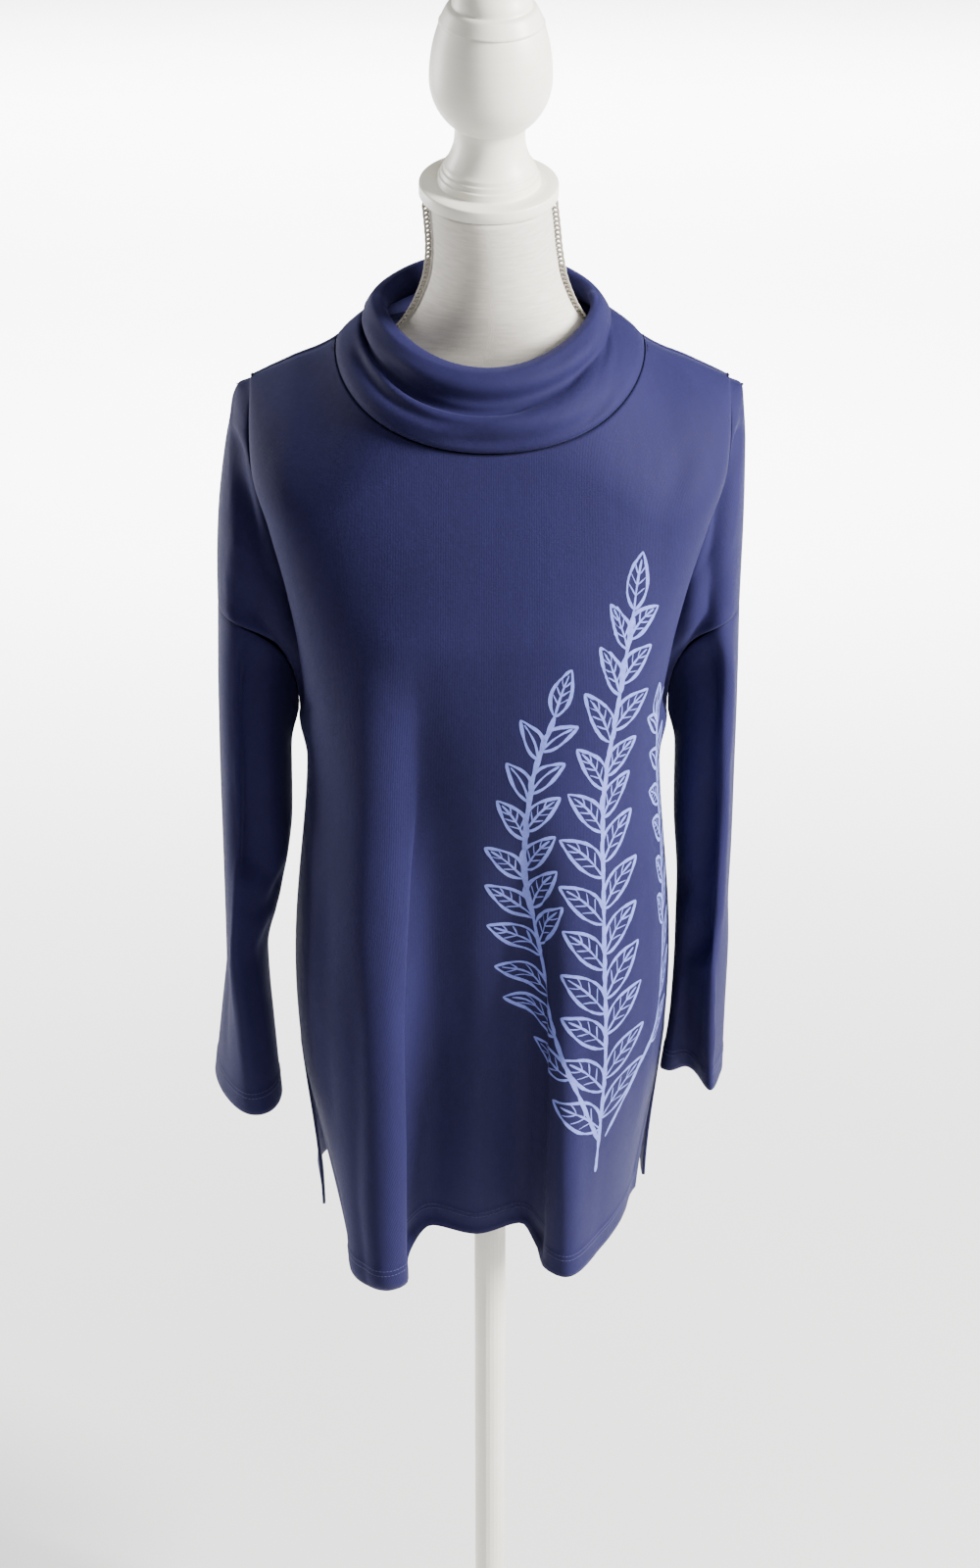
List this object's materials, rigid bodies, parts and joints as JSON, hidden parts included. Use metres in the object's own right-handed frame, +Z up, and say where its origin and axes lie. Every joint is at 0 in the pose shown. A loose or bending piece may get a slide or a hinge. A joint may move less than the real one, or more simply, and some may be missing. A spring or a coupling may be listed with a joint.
{
  "type": "sweater on a dress form",
  "caption": "Fine-knit tunic sweater with a rolled funnel collar, dropped shoulders and side vents, worn by a limbless dress form that stands on a round foot.",
  "frame": {"origin": "centre of the underside of the round foot, on the floor", "axes": "+Z up, the front of the sweater faces -Y, +X is the viewer's right when looking at the front"},
  "size_m": [0.4494, 0.36, 1.6464],
  "materials": {
    "knit_front": "matte fine knit, navy",
    "knit_back": "matte fine knit, navy",
    "knit_sleeve_left": "matte fine knit, navy",
    "knit_sleeve_right": "matte fine knit, navy",
    "knit_collar": "matte fine knit, navy",
    "linen_cover": "off-white woven cover",
    "cap_paint": "turned and painted cream",
    "pole_paint": "painted cream",
    "foot_paint": "turned and painted cream"
  },
  "bodies": {
    "root": {"front": "knit_front", "back": "knit_back", "sleeve_left": "knit_sleeve_left", "sleeve_right": "knit_sleeve_right", "collar": "knit_collar", "form_torso": "linen_cover", "form_cap": "cap_paint", "form_pole": "pole_paint", "form_foot": "foot_paint"}
  },
  "joints": []
}
